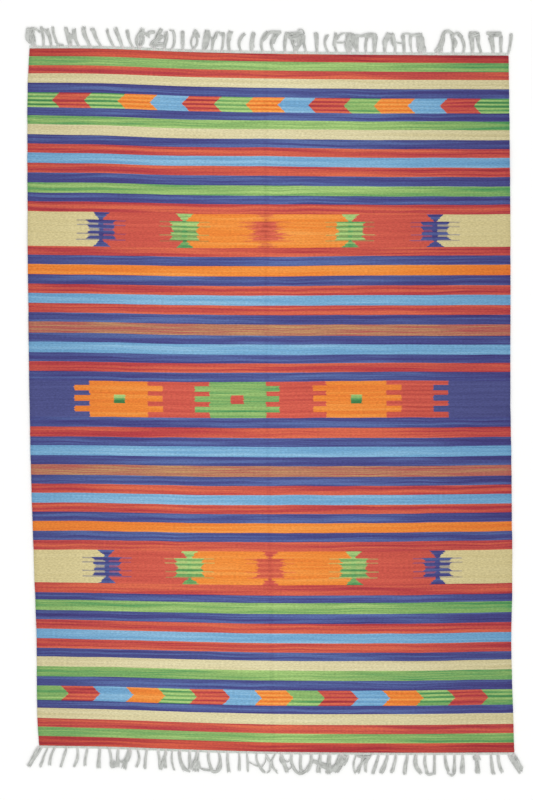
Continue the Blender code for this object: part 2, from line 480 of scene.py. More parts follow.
# comb bands: middles as shares of the width, heights as shares of the band's, the rest in mm
combs = {
    "middles": (0.152, 0.325, 0.4935, 0.668, 0.844),
    "yarns": ("blue", "green", "madder", "green", "blue"),
    # in the far band and in the near one: how ragged each motif is, and how much of its yarn shows
    # in its bars and in the triangles at its ends
    "raggedness": ((0.12, 0.15, 0.70, 0.15, 0.12), (0.12, 0.15, 0.32, 0.15, 0.12)),
    "strength": (
        ((1, 1), (1, 1), (0.93, 0.60), (1, 1), (1, 1)),
        ((1, 1), (1, 1), (0.93, 1), (1, 1), (1, 1)),
    ),
    "grounds": ("straw", "madder", "orange", "orange", "madder", "straw"),
    "unit": 100,  # mm: a ramp holds 0 to 1
    # down the motif: share of the height and half width; a bar is wider at one edge
    "open": [
        (0.0, 28), (0.205, 5), (0.218, 5), (0.2185, 51), (0.307, 38), (0.3075, 7), (0.366, 7),
        (0.3665, 49), (0.455, 38), (0.4555, 7), (0.536, 7), (0.5365, 38), (0.624, 49),
        (0.6245, 7), (0.685, 7), (0.6855, 38), (0.779, 51), (0.7795, 5), (0.81, 5), (1.0, 29),
    ],
    # the same where the ground isn't straw: there the gaps between the bars are filled in
    "filled": [
        (0.0, 28), (0.205, 5), (0.218, 5), (0.2185, 51), (0.307, 42), (0.366, 41), (0.3665, 49),
        (0.455, 41), (0.49, 38), (0.536, 41), (0.624, 49), (0.6245, 41), (0.685, 42),
        (0.779, 51), (0.7795, 5), (0.81, 5), (1.0, 29),
    ],
    # thin lines of the ground in the gaps, and faint motif lines that run on past the bars
    "gapLines": [(0.0, 0), (0.315, 1), (0.362, 0), (0.460, 0.8), (0.530, 0), (0.628, 1), (0.682, 0)],
    "whiskers": [
        (0.0, 0), (0.215, 1), (0.255, 0), (0.345, 1), (0.385, 0), (0.60, 1), (0.64, 0),
        (0.775, 1), (0.815, 0),
    ],
    "ends": [(0.0, 1), (0.205, 0), (0.80, 1)],  # where the triangles are
    "stem": 8,  # half the width of the stem
    "whiskerReach": 82,
    "whiskerStrength": 0.55,
    "whiskerRange": (0.35, 0.6),  # of the line noise, from its faintest to its full strength
    "whiskerFaintest": 0.3,
    "wobble": 130,  # of the edges of the most ragged motif
    "wobbleScale": (16, 330, 1),  # its waves per metre along the wefts and across them
    "lines": 6.82,  # pale and deep pairs down the height of a motif
    "linesStart": (0.0, 0.66),  # how far into a pair the far and the near band start
    "calmEnds": 0.7,  # how much less a triangle is lined than the bars
    # by yarn: how strongly it is lined, how far it goes from paler at the far end to deeper, and
    # how much of the ground shows in the gap lines
    "change": {"blue": (0.20, 0.0, 0.40), "green": (1.0, 0.8, 0.12), "madder": (0.8, 0.0, 0.12)},
    "stemTone": -1.3,  # a stem is deeper than its motif, the more so the more ragged it is
    "gapFill": 0.50,  # how much of the motif's yarn crosses the open gaps
}


def combBand(which, add, streaks):
    # the far band is which 0, and the near one 1
    across, down = bandPlace(add)

    # the motif that is nearest, and the ground on this side of it
    middles = combs["middles"]
    starts = [0.0, *((a + b) / 2 for a, b in zip(middles, middles[1:]))]
    looks = zip(starts, middles, combs["yarns"], combs["raggedness"][which], combs["strength"][which])
    rows = [
        (start, middle, yarnNumber(yarn), ragged, *combs["change"][yarn], *strength)
        for start, middle, yarn, ragged, strength in looks
    ]
    middle, number, ragged, lined, fade, gapShow, inBars, inEnds = lookUp(add, across, rows)
    grounds = zip((0.0, *middles), combs["grounds"])
    grounds = [(start, yarnNumber(yarn), float(yarn == "straw")) for start, yarn in grounds]
    groundNumber, isOpen = lookUp(add, across, grounds)

    # how far from the motif's middle, in mm, with hand-woven raggedness
    place = add("UVMap", {"uv_map": "weave"}, {})
    spread = add("Mapping", {}, {"Vector": place, "Scale": combs["wobbleScale"]})
    wobble = add("TexNoise", flatNoise, {"Vector": spread, "Scale": 1.0, "Detail": 1.0})
    wobble = add("Math", timesPlus, (wobble, combs["wobble"], -combs["wobble"] / 2))
    wobble = add("Math", times, (wobble, ragged))
    away = add("Math", minus, (across, middle))
    away = add("Math", absolute, (away,))
    away = add("Math", timesPlus, (away, cloth["width"] / mm, wobble))

    # what the motif has at this height, and where this place is in it
    shown = ("gapLines", "whiskers", "ends")
    gapLines, whiskers, ends = (lookUp(add, down, combs[key])[0] for key in shown)
    widths = []
    for key in ("open", "filled"):
        stops = [(height, grey(half / combs["unit"])) for height, half in combs[key]]
        widths.append(add("ValToRGB", {"stops": stops, "between": "LINEAR"}, {"Fac": down}))
    half = add("Mix", ofColours, {0: isOpen, 6: widths[1], 7: widths[0]}, 2)
    half, full = (add("Math", times, (width, combs["unit"])) for width in (half, widths[1]))
    limits = (half, full, combs["stem"], combs["whiskerReach"])
    inside, crossed, stem, reached = (add("Math", isUnder, (away, limit)) for limit in limits)

    # a gap line leaves the stem whole, some motif yarn crosses the open gaps too, and a whisker
    # ends at its reach
    gap = add("Math", minus | clamped, (gapLines, stem))
    gap = add("Math", times, (gap, gapShow))
    solid = add("Math", minus | clamped, (inside, gap))
    strength = add("Mix", ofNumbers, {0: ends, 2: inBars, 3: inEnds})
    solid = add("Math", times, (solid, strength))
    crossed = add("Math", times, (crossed, combs["gapFill"]))
    solid = add("Math", larger, (solid, crossed))
    broken = (streaks["line"], *combs["whiskerRange"], combs["whiskerFaintest"], 1.0)
    faint = add("MapRange", {}, broken)
    for share in (whiskers, reached, combs["whiskerStrength"]):
        faint = add("Math", times, (faint, share))
    motifShare = add("Math", larger, (solid, faint))

    line = linePairs(add, down, combs["lines"], combs["linesStart"][which])
    calm = add("Math", timesPlus, (ends, -combs["calmEnds"], 1.0))
    for share in (lined, calm):
        line = add("Math", times, (line, share))
    slope = add("Math", timesPlus, (down, -2.0, 1.0))
    tone = add("Math", timesPlus, (slope, fade, line))
    stem = add("Math", times, (stem, ragged))
    tone = add("Math", timesPlus, (stem, combs["stemTone"], tone))
    ground = dyedCotton(add, groundNumber, 0.0, streaks)
    motif = dyedCotton(add, number, tone, streaks)
    return add("Mix", ofColours, {0: motifShare, 6: ground, 7: motif}, 2)


# the middle band: blocks with three fingers at each end, and an eye in three of the blocks
blocks = {
    # yarn, where it starts between the finger rows and in them, how strongly it is lined, and how
    # much deeper than usual it is
    "runs": [
        ("navy", 0.0, 0.0, 0.0, 0), ("orange", 0.124, 0.0915, 0.1, 0.1),
        ("madder", 0.243, 0.2755, 0.25, 0), ("green", 0.374, 0.3435, 0.1, 0.28),
        ("madder", 0.489, 0.519, 0.45, 0), ("orange", 0.617, 0.588, 0.15, 0.1),
        ("madder", 0.739, 0.770, 0.6, 0), ("navy", 0.871, 0.8395, 0.1, 0),
    ],
    "fingerRows": [(0.0, 0), (0.115, 1), (0.268, 0), (0.394, 1), (0.551, 0), (0.686, 1), (0.844, 0)],
    # yarn, where it starts and ends, and how far it goes from paler above to deeper below
    "eyes": [("green", 0.172, 0.199, 1.0), ("madder", 0.416, 0.445, 0.3), ("green", 0.6665, 0.6895, 1.0)],
    "eyeRows": [(0.0, 0), (0.372, 1), (0.615, 0)],
    "eyeTone": (8.2, -18.0),  # at the far edge of the band, and how far it goes to the near one
    "ragged": 0.008,
    "lines": 9.0,  # pale and deep pairs down the height of the band
}


def blockBand(add, streaks):
    across, down = bandPlace(add)
    across = add("Math", timesPlus, (streaks["ragged"], blocks["ragged"], across))
    inFingers, inEyeRow = (lookUp(add, down, blocks[key])[0] for key in ("fingerRows", "eyeRows"))
    between, fingers = (
        lookUp(add, across, [(row[k], yarnNumber(row[0]), *row[3:]) for row in blocks["runs"]])
        for k in (1, 2)
    )
    number, lined, deeper = (
        add("Mix", ofNumbers, {0: inFingers, 2: a, 3: b}) for a, b in zip(between, fingers)
    )
    line = add("Math", times, (linePairs(add, down, blocks["lines"]), lined))
    line = add("Math", minus, (line, deeper))

    eyes = [(0.0, 0, 0, 0)]
    for yarn, start, end, change in blocks["eyes"]:
        eyes += [(start, yarnNumber(yarn), 1, change), (end, 0, 0, 0)]
    eyeNumber, inEye, eyeChange = lookUp(add, across, eyes)
    inEye = add("Math", times, (inEye, inEyeRow))
    start, change = blocks["eyeTone"]
    eyeTone = add("Math", timesPlus, (down, change, start))
    eyeTone = add("Math", times, (eyeTone, eyeChange))
    number = add("Mix", ofNumbers, {0: inEye, 2: number, 3: eyeNumber})
    tone = add("Mix", ofNumbers, {0: inEye, 2: line, 3: eyeTone})
    return dyedCotton(add, number, tone, streaks)


# the cloth: metres
cloth = {
    "width": 1.60,
    "length": mm * endToEnd,
    "rowHeight": 0.0045,  # of one row of faces
    "leastRows": 4,  # in the narrowest stripe
    "columns": 74,
    "thickness": 0.0034,
    "lift": 0.0003,  # of the underside above zero
    "edgeRound": 0.0011,
    "stripeSwell": 0.00035,  # how far a stripe's middle stands above its edges
    "lineWander": 0.0012,  # of the wefts up and down
    "edgeWander": 0.0009,  # of the selvages in and out
    "slowWander": 0.16,  # the lengths over which a slow wander and a fine one change
    "fineWander": 0.05,
    "calmEnd": 1 / 12,  # the share of the length in which the wefts straighten at each end
    "selvage": 1 / 30,  # the share of the width that wanders with each selvage
    "cornerAngle": 60,  # degrees: edges sharper than this are rounded
    "smoothAngle": 50,
}

# the old folds and the waves that the cloth lies in: the ends of each as shares of the width and
# the length, its height, which is under zero for a trough, and its half width
creases = [
    ((0.497, -0.1), (0.497, 1.1), 0.0018, 0.024),
    ((0.46, -0.1), (0.46, 1.1), -0.0005, 0.030),
    ((-0.1, 0.503), (1.1, 0.497), 0.0009, 0.028),
    ((-0.05, 0.27), (0.30, 0.25), 0.0030, 0.055),
    ((0.72, 0.13), (1.05, 0.16), 0.0034, 0.060),
    ((0.66, 0.74), (1.05, 0.71), 0.0028, 0.050),
    ((-0.05, 0.83), (0.36, 0.86), 0.0032, 0.058),
    ((0.10, 0.60), (0.42, 0.63), 0.0018, 0.050),
    ((0.56, 0.36), (0.88, 0.33), 0.0018, 0.055),
    ((0.985, 0.05), (0.985, 0.95), 0.0012, 0.030),
    ((0.012, 0.05), (0.012, 0.95), 0.0010, 0.028),
]
# a fold dies away over this share of its length at each end, to this share of its height
creaseEnd, creaseLeft = 0.25, 0.05


def creaseHeight(x, y):
    # how far the folds and waves lift the cloth at a place in metres from its far left corner
    lift = np.zeros_like(x)
    for start, end, height, half in creases:
        ax, ay = start[0] * cloth["width"], start[1] * cloth["length"]
        bx, by = end[0] * cloth["width"], end[1] * cloth["length"]
        long = (bx - ax) ** 2 + (by - ay) ** 2
        t = np.clip(((x - ax) * (bx - ax) + (y - ay) * (by - ay)) / long, 0, 1)
        away = np.hypot(x - ax - t * (bx - ax), y - ay - t * (by - ay)) / half
        fade = np.minimum(1, np.minimum(t, 1 - t) / creaseEnd + creaseLeft)
        lift += height * fade * np.exp(-away**2)
    return np.maximum(lift, 0)


def readAll(items, name, size=1):
    # one property of all of a mesh's points, corners or faces: whole numbers, or rows of floats
    values = np.empty(len(items) * size, int if size == 1 else float)
    items.foreach_get(name, values)
    return values if size == 1 else values.reshape(-1, size)


def addMap(mesh, name, u, v):
    layer = mesh.uv_layers.new(name=name)
    layer.uv.foreach_set("vector", np.stack([u, v], 1).astype(np.float32).ravel())


def layBands():
    # the share of the length at each line between rows of faces, each row's band, and where each
    # band starts and how high it is
    lines, bandOf, starts, heights = [0.0], [], [], []
    for band, (_, width) in enumerate(weftPlan):
        start, height = lines[-1], width / endToEnd
        count = max(cloth["leastRows"], round(mm * width / cloth["rowHeight"]))
        lines += [start + height * (k + 1) / count for k in range(count)]
        bandOf += [band] * count
        starts.append(start)
        heights.append(height)
    return [np.array(each) for each in (lines, bandOf, starts, heights)]


def layCloth(column, across, along):
    # where each point of the grid lies, seen from above: the loom's uneven lines, which wander
    under = [dipsUnder(c / cloth["columns"]) for c in range(cloth["columns"] + 1)]
    places = np.zeros((len(across), 3))
    for i, (c, s, t) in enumerate(zip(column, across, along)):
        x, y = loomPoint(s, t, under[c])
        atSide = max(0, 1 - min(s, 1 - s) / cloth["selvage"])
        x += cloth["edgeWander"] * atSide * waver(0, y, 5 + round(s), cloth["fineWander"])
        # the ends stay put, where the fringes meet them
        inner = min(1, min(t, 1 - t) / cloth["calmEnd"])
        wander = waver(x, y, 1, cloth["slowWander"]) + 0.5 * waver(x, y, 2, cloth["fineWander"])
        y += cloth["lineWander"] * inner * wander
        places[i, :2] = x + shiftX, y + shiftY
    return places


def dyeBands(mesh, faceBand):
    # each face's yarn or pattern
    numbers = np.array([yarnNumber(kind) if kind in yarns else 0 for kind, _ in weftPlan])
    attribute = mesh.attributes.new("yarn", "FLOAT", "FACE")
    attribute.data.foreach_set("value", numbers[faceBand].astype(np.float32))
    patterns = {
        "farArrows": ("slit-woven cotton, far arrows", partial(arrowBand, 1)),
        "nearArrows": ("slit-woven cotton, near arrows", partial(arrowBand, 2)),
        "farCombs": ("slit-woven cotton, far combs", partial(combBand, 0)),
        "nearCombs": ("slit-woven cotton, near combs", partial(combBand, 1)),
        "blocks": ("slit-woven cotton, blocks", blockBand),
    }
    for name, pattern in (("weft-faced cotton, stripes", plainStripes), *patterns.values()):
        mesh.materials.append(wovenCotton(name, pattern))
    slots = np.array([1 + list(patterns).index(kind) if kind in patterns else 0 for kind, _ in weftPlan])
    mesh.polygons.foreach_set("material_index", slots[faceBand].astype(np.int32))


def weaveCloth():
    # a grid with a line of edges on every border between bands, laid to the rug's outline
    lines, bandOf, starts, heights = layBands()
    rows, columns = len(bandOf), cloth["columns"]
    bpy.ops.mesh.primitive_grid_add(x_subdivisions=columns, y_subdivisions=rows, size=1)
    piece = bpy.context.object
    piece.name = piece.data.name = "kilimCloth"
    mesh = piece.data
    flat = readAll(mesh.vertices, "co", 3)
    column = np.rint((flat[:, 0] + 0.5) * columns).astype(int)
    row = np.rint((0.5 - flat[:, 1]) * rows).astype(int)
    across, along = column / columns, lines[row]
    places = layCloth(column, across, along)

    # each stripe swells a little between its borders, over the folds and waves
    band = bandOf[np.minimum(row, rows - 1)]
    inBand = np.clip((along - starts[band]) / heights[band], 0, 1)
    swell = cloth["stripeSwell"] * np.sqrt(np.maximum(0, 1 - (2 * inBand - 1) ** 2))
    waves = creaseHeight(across * cloth["width"], along * cloth["length"])
    places[:, 2] = cloth["lift"] + cloth["thickness"] + swell + waves
    mesh.vertices.foreach_set("co", places.ravel())

    # maps for the weave, in metres, and for the place in the band, turned round for nearArrows
    faceBand = bandOf[rows - 1 - np.arange(len(mesh.polygons)) // columns]
    band, corner = np.repeat(faceBand, 4), readAll(mesh.loops, "vertex_index")
    s, t = across[corner], along[corner]
    v = (t - starts[band]) / heights[band]
    turned = np.array([kind == "nearArrows" for kind, _ in weftPlan])[band]
    for layer in list(mesh.uv_layers):
        mesh.uv_layers.remove(layer)
    addMap(mesh, "weave", s * cloth["width"], t * cloth["length"])
    addMap(mesh, "share", np.where(turned, 1 - s, s), np.where(turned, 1 - v, v))
    dyeBands(mesh, faceBand)
    mesh.update()
    print("cloth laid:", rows, "rows of", columns)
    return piece


def thickenCloth(piece):
    # the thickness of the weave, and its rounded selvages and ends
    for kind, settings in (
        ("SOLIDIFY", {"thickness": cloth["thickness"], "offset": -1}),
        ("BEVEL", {"width": cloth["edgeRound"], "segments": 2, "limit_method": "ANGLE",
                   "angle_limit": math.radians(cloth["cornerAngle"])}),
    ):
        bpy.ops.object.modifier_add(type=kind)
        modifier = piece.modifiers[-1]
        for name, value in settings.items():
            setattr(modifier, name, value)
        bpy.ops.object.modifier_apply(modifier=modifier.name)
    bpy.ops.object.shade_smooth_by_angle(angle=math.radians(cloth["smoothAngle"]))
    print("cloth thickened:", len(piece.data.polygons), "faces")


# the OFBake maps: sizes are shares of a map
bakeMap = {
    "top": 0.70,  # the cloth's top side, over its underside
    "under": 0.28,
    "rim": 0.004,  # about 4 texels round each side, for the selvages and ends
    "pushed": 0.003,  # how far into it their lower edges go
    "rimFaces": 0.3,  # a normal that points up or down by less than this is on the rim
    "lengths": 4,  # a fringe is cut in this many, laid one over another
    "margin": 0.02,  # round each of them
}


def mapCloth(piece):
    # the top side over the underside, with the rim pushed out round each
    mesh, rim = piece.data, bakeMap["rim"]
    corner, count = readAll(mesh.loops, "vertex_index"), readAll(mesh.polygons, "loop_total")
    up = np.repeat(readAll(mesh.polygons, "normal", 3)[:, 2], count)
    middle = np.repeat(readAll(mesh.polygons, "center", 3)[:, 2], count)
    lower = readAll(mesh.vertices, "co", 3)[corner, 2] < middle
    place = readAll(mesh.uv_layers["weave"].uv, "vector", 2) / (cloth["width"], cloth["length"])
    outward = np.sign(place - 0.5) * (np.minimum(place, 1 - place) < rim)
    onRim = (np.abs(up) < bakeMap["rimFaces"]) & lower
    v, u = (rim + (1 - 2 * rim) * place + bakeMap["pushed"] * outward * onRim[:, None]).T
    v = np.where(up > -bakeMap["rimFaces"], 1 - bakeMap["top"] * (1 - v), bakeMap["under"] * v)
    addMap(mesh, "OFBake", u, v)


kilimCloth = weaveCloth()
thickenCloth(kilimCloth)
mapCloth(kilimCloth)
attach(kilimCloth, "root")
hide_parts("kilim_cloth")


# the bunched warp ends, left to right, the same as the frame's, in mm: how far along the end each
# starts, how far its tip leans to the right, how far its middle bows to the right, and its width
farTassels = [
    (16, -12, -3, 26), (48, -9, 2, 11), (73, -16, 2, 13), (96, -20, -2, 10), (133, -13, 1, 13),
    (165, -16, -5, 13), (203, -22, -6, 15), (239, -31, -3, 13), (281, -21, -4, 12), (311, -24, -2, 14),
    (345, -19, -4, 11), (366, 16, -10, 14), (416, 26, -5, 16), (449, 8, 2, 14), (476, 2, 7, 11),
    (511, 0, 0, 14), (546, 7, 0, 18), (581, 13, -2, 18), (609, 17, -4, 11), (641, 5, 3, 11),
    (667, 5, -6, 15), (705, 14, -12, 11), (741, 8, -3, 16), (778, 18, -13, 13), (814, 12, -13, 12),
    (852, 7, -4, 13), (886, 2, 3, 19), (922, -8, -3, 12), (958, -2, 0, 14), (995, 2, -11, 10),
    (1025, -2, -7, 11), (1066, 0, 0, 24), (1093, -4, 0, 13), (1122, 6, -3, 12), (1151, -1, 0, 15),
    (1185, 10, -4, 13), (1219, -9, 3, 12), (1249, -6, 2, 12), (1275, -4, -3, 9), (1305, -7, 0, 22),
    (1361, 18, 4, 17), (1413, -7, 3, 12), (1446, -19, 11, 12), (1476, -4, 0, 15), (1505, -9, -3, 13),
    (1545, -9, 4, 13), (1572, 0, 0, 12), (1597, 9, 2, 12),
]
nearTassels = [
    (8, -46, 0, 13), (28, -26, 0, 10), (52, -17, -5, 10), (91, -21, 0, 11), (127, -13, 7, 11),
    (160, -10, 0, 11), (201, -3, 0, 14), (234, 10, 0, 12), (263, -3, 0, 13), (300, -19, 0, 15),
    (327, -6, 9, 10), (358, -6, -1, 11), (396, 9, 0, 11), (421, 0, -2, 11), (443, 7, -4, 8),
    (468, 19, -6, 14), (501, 1, 0, 12), (528, -6, 0, 18), (564, 14, -6, 12), (598, -6, 7, 12),
    (628, 4, -2, 12), (667, 0, 0, 9), (693, 3, 0, 9), (725, 28, -11, 9), (756, 13, 7, 5),
    (786, 9, -13, 5), (807, 20, 0, 14), (841, 18, -8, 12), (873, 1, -3, 12), (906, -16, 7, 13),
    (938, -8, 0, 15), (968, -5, 0, 18), (1007, -20, 0, 24), (1057, -2, -8, 7), (1080, -17, 1, 8),
    (1107, -17, -10, 9), (1132, -21, 0, 12), (1161, -25, 4, 14), (1190, -16, 1, 12), (1228, -11, -1, 13),
    (1256, 15, -8, 15), (1287, 8, -5, 12), (1318, -1, 0, 11), (1353, 11, -3, 12), (1385, -3, 0, 12),
    (1412, -1, 0, 14), (1459, 3, 0, 17), (1506, 9, -2, 12), (1530, 14, -4, 12), (1566, 40, 0, 17),
]

# bunches that open round a hole: which bunch, the hole's middle and half length as shares of the
# strands' length, and how wide it opens in mm
farHoles = [(11, 0.40, 0.27, 13), (15, 0.40, 0.15, 6), (16, 0.47, 0.29, 16), (26, 0.40, 0.18, 14)]
nearHoles = [(17, 0.45, 0.18, 5)]

# yarns that lie loose, stray from a bunch or cross to the next: their width in mm, then the points
# that they pass, in mm along the end from its left corner and out from the band
farStrays = [
    (12, (1, 8), (-8, 30), (-4, 54)), (10, (-11, 54), (11, 57), (26, 54), (36, 44)),
    (9, (37, 51), (50, 53), (64, 32)), (6, (86, 12), (97, 6), (115, 1)),
    (16, (126, 38), (140, 30), (154, 38)), (12, (139, 1), (136, 24), (129, 46)),
    (13, (176, 53), (185, 32), (200, 7)), (12, (203, 57), (218, 49), (221, 32), (230, 15)),
    (10, (365, 1), (358, 18), (362, 38), (372, 51), (389, 46), (402, 33)),
    (9, (369, 1), (379, 15), (380, 32), (374, 49)), (14, (392, 37), (403, 52), (420, 54)),
    (18, (403, 6), (414, 20), (431, 31), (445, 45)), (16, (406, 17), (425, 12), (450, 15)),
    (9, (467, 63), (480, 57), (482, 41)), (16, (550, 66), (559, 53), (561, 39)),
    (22, (595, 66), (596, 48), (589, 26), (584, 3)),
    (9, (600, 50), (611, 34), (620, 39), (624, 56), (632, 61), (641, 48)),
    (15, (663, 60), (667, 46), (663, 30)), (14, (748, 59), (741, 32), (745, 7)),
    (13, (774, 31), (786, 44), (799, 61), (814, 64), (826, 63), (840, 66)),
    (13, (812, 25), (818, 42), (830, 59), (840, 65)), (30, (859, 56), (887, 52), (913, 54)),
    (9, (890, 9), (877, 26), (872, 42)), (11, (891, 10), (905, 26), (909, 42)),
    (5, (893, 66), (901, 73), (912, 71), (918, 59)), (7, (1025, 41), (1036, 57), (1054, 64)),
    (6, (1015, 31), (1031, 31), (1054, 32)), (12, (1012, 21), (1019, 35), (1022, 66)),
    (30, (1063, 3), (1066, 32), (1072, 65)), (20, (1091, 6), (1087, 32), (1088, 60)),
    (10, (1093, 57), (1108, 54), (1126, 60)), (20, (1115, 56), (1137, 56), (1159, 56)),
    (16, (1151, 4), (1152, 32), (1155, 60)), (20, (1183, 21), (1188, 40), (1200, 65)),
    (18, (1216, 21), (1212, 40), (1205, 62)), (6, (1218, 36), (1232, 31), (1243, 31)),
    (9, (1243, 62), (1260, 63), (1279, 58), (1310, 61)), (26, (1301, 4), (1303, 33), (1300, 58)),
    (12, (1321, 4), (1313, 28), (1310, 55)),
    (14, (1351, 4), (1365, 22), (1376, 47), (1382, 67), (1396, 73), (1410, 64), (1418, 56)),
    (14, (1374, 4), (1372, 22), (1378, 42)), (12, (1418, 17), (1421, 34), (1415, 50)),
    (10, (1413, 57), (1428, 67), (1443, 51)), (24, (1465, 64), (1483, 60), (1501, 62)),
    (16, (1478, 5), (1476, 31), (1474, 58)), (20, (1524, 67), (1549, 61), (1575, 64)),
    (16, (1532, 50), (1543, 31), (1545, 8)),
]
nearStrays = [
    (12, (-2, -4), (-18, 27), (-36, 59)), (24, (243, 40), (248, 63)),
    (8, (263, 35), (275, 42), (287, 34)), (15, (305, 3), (300, 20), (291, 39)),
    (12, (424, 4), (417, 25), (410, 44), (408, 62)), (13, (465, 5), (472, 35), (481, 56), (503, 67)),
    (30, (524, 25), (522, 57)), (8, (535, 53), (551, 58), (574, 62)),
    (11, (570, 44), (576, 63), (590, 64), (603, 52), (604, 29)), (4, (697, 27), (715, 37), (732, 45)),
    (7, (786, 2), (776, 20), (772, 35), (769, 55), (757, 66)), (4, (756, 8), (753, 26), (742, 45)),
    (7, (756, 3), (761, 17), (770, 28), (777, 42), (786, 53), (795, 57)),
    (12, (806, 4), (806, 21), (816, 36), (826, 48)), (4, (816, 20), (828, 25), (840, 17)),
    (4, (831, 51), (838, 46), (843, 34)),
    (10, (844, 33), (851, 53), (870, 65), (888, 55), (901, 32)),
    (14, (901, 31), (917, 24), (935, 32), (955, 36), (969, 38)), (12, (938, 36), (952, 43), (966, 44)),
    (30, (1019, 3), (1008, 21), (990, 43), (980, 57)), (14, (1030, 3), (1021, 24), (1013, 35)),
    (22, (969, 41), (980, 55)), (9, (1074, 28), (1065, 43), (1058, 59)),
    (9, (1058, 5), (1080, 7), (1104, 5)), (12, (1103, 5), (1092, 14), (1080, 22), (1072, 32)),
    (16, (1254, 3), (1253, 26), (1260, 46), (1275, 63)), (8, (1286, 60), (1302, 66), (1319, 60)),
    (8, (1360, 62), (1374, 68), (1386, 61)), (28, (1458, 2), (1458, 18)), (20, (1461, 42), (1461, 63)),
    (20, (1580, -4), (1591, 22), (1608, 52)), (14, (1565, 5), (1583, 28), (1600, 50)),
]

fringe = {
    "gap": 0.0003,  # metres: between the cloth and the end band
    "band": 0.008,  # of bare twined warp ends
    "reach": 0.063,  # of a bunch, beyond the band
    "reachChange": 0.06,  # from bunch to bunch, as a share
    "reachTurn": 2.3,  # radians of that change from each bunch to the next
    "strands": 11,  # in a bunch that is usualWidth mm wide
    "usualWidth": 13,
    "leastStrands": 3,
    "crowding": 0.8,  # the number of strands goes by this power of the width
    "strandRadius": 0.00135,
    "radiusChange": 0.15,  # from strand to strand, as a share
    "thinBase": (0.20, 0.85),  # shares: how far up a strand it goes, and how thick the base is
    "thinTip": (0.05, 0.45),
    "strandRings": 12,
    "sides": 5,
    "lineSteps": 33,  # along the middle of a bunch
    "halfHeight": 0.0017,  # of a bunch, besides the strands' own thickness
    "twist": 2.2,  # radians from base to tip
    "twistRange": (0.6, 1.2),  # from bunch to bunch, as shares
    "uneven": 0.3,  # radians that a strand may be off its place in the bunch
    "ragged": 0.09,  # how much shorter a strand may be, as a share
    "raggedPower": 1.5,  # over 1, so that most are nearly whole
    "loose": 1.8,  # mm that a tip may stray
    "wave": 0.5,  # mm
    "waveRange": (5, 9),  # radians from base to tip
    "wavePhase": (0, 6),  # radians at the base
    "holeSqueeze": 0.35,  # how much closer the strands lie beside a hole
    "holePower": 0.7,  # under 1, so that a hole's ends are blunt
    "strayRise": 0.0008,  # how far the loose yarns lie on the bunches
    "cordPlaces": (0.16, 0.50, 0.84),  # of the twined cords, as shares of the band
    "plyRadius": 0.00085,
    "plyPress": 1.08,  # a ply against the circle that it winds on, so that the two press together
    "cordTurn": 0.011,  # metres for one turn of the two plies
    "stepsPerTurn": 5,
    "smoothAngle": 75,
}

# how wide a bunch and a stray yarn are at shares of their length
bunchShape = [(0.0, 0.55), (0.09, 0.65), (0.2, 0.80), (0.5, 1.0), (0.82, 1.15), (1.0, 1.25)]
strayShape = [(0.0, 0.65), (0.25, 1.0), (0.8, 1.0), (1.0, 0.80)]
# how high they stand
standShape = [(0.0, 0.5), (0.2, 0.8), (0.5, 1.0), (1.0, 0.7)]
goldenTurn = 2.39996  # radians from each strand to the next round a bunch


def unit(vectors):
    return vectors / np.linalg.norm(vectors, axis=1)[:, None]


def addTube(parts, path, radii, slot, start=0.0):
    # a closed tube along the path, with a map round it and along it in metres from the band
    path, sides, rings = np.array(path), fringe["sides"], len(path)
    tangent = unit(np.gradient(path, axis=0))
    side = unit(np.cross(tangent, (0, 0, 1)))
    lift = np.cross(side, tangent)
    turn = np.arange(sides) * 2 * math.pi / sides
    ring = np.cos(turn)[:, None] * side[:, None] + np.sin(turn)[:, None] * lift[:, None]
    points = path[:, None] + ring * np.array(radii)[:, None, None]
    run = start + np.concatenate([[0], np.cumsum(np.linalg.norm(np.diff(path, axis=0), axis=1))])
    first = sum(len(block) for block in parts["points"])
    parts["points"].append(points.reshape(-1, 3))
    for i in range(rings - 1):
        for k in range(sides):
            a, b = first + i * sides + k, first + i * sides + (k + 1) % sides
            parts["faces"].append((a, a + sides, b + sides, b))
            u, nextU = k / sides, (k + 1) / sides
            parts["map"] += [(u, run[i]), (u, run[i + 1]), (nextU, run[i + 1]), (nextU, run[i])]
    parts["faces"].append(tuple(first + k for k in range(sides)))
    parts["faces"].append(tuple(first + rings * sides - 1 - k for k in range(sides)))
    parts["map"] += [(k / sides, end) for end in (run[0], run[-1]) for k in range(sides)]
    parts["slots"] += [slot] * ((rings - 1) * sides + 2)


def endLine(end, outward, away):
    # a function for where the line this far beyond an end of the cloth is, at a share of the width
    shares = np.linspace(0, 1, 121)
    line = np.array([loomPoint(share, end, dipsUnder(share)) for share in shares])
    line += (shiftX, shiftY + outward * away)
    return lambda share: np.array([np.interp(share, shares, axis) for axis in line.T])


def bunchPoints(base, row, index, outward):
    # a few points down the middle of a bunch, from inside the band to the tip; the reach goes up and
    # down from bunch to bunch
    _, lean, bow, _ = row
    reach = fringe["reach"] * (1 + fringe["reachChange"] * math.sin(fringe["reachTurn"] * index))
    shares = (-0.1, 0.2, 0.5, 0.8, 1.0)
    aside = [mm * (lean * share + bow * 4 * share * (1 - share)) for share in shares]
    return [(base[0] + x, base[1] + outward * reach * share) for x, share in zip(aside, shares)]


def smoothLine(points, count):
    # evenly spaced places on a smooth line through the points, and the way across it at each
    points = np.array(points)
    steps = np.linalg.norm(np.diff(points, axis=0), axis=1)
    run = np.concatenate([[0], np.cumsum(steps)]) / steps.sum()
    shares = np.linspace(0, 1, count)
    line = np.array([[smooth(share, run, points[:, axis]) for axis in (0, 1)] for share in shares])
    ahead = unit(np.gradient(line, axis=0))
    return shares, line, np.stack([ahead[:, 1], -ahead[:, 0]], 1)


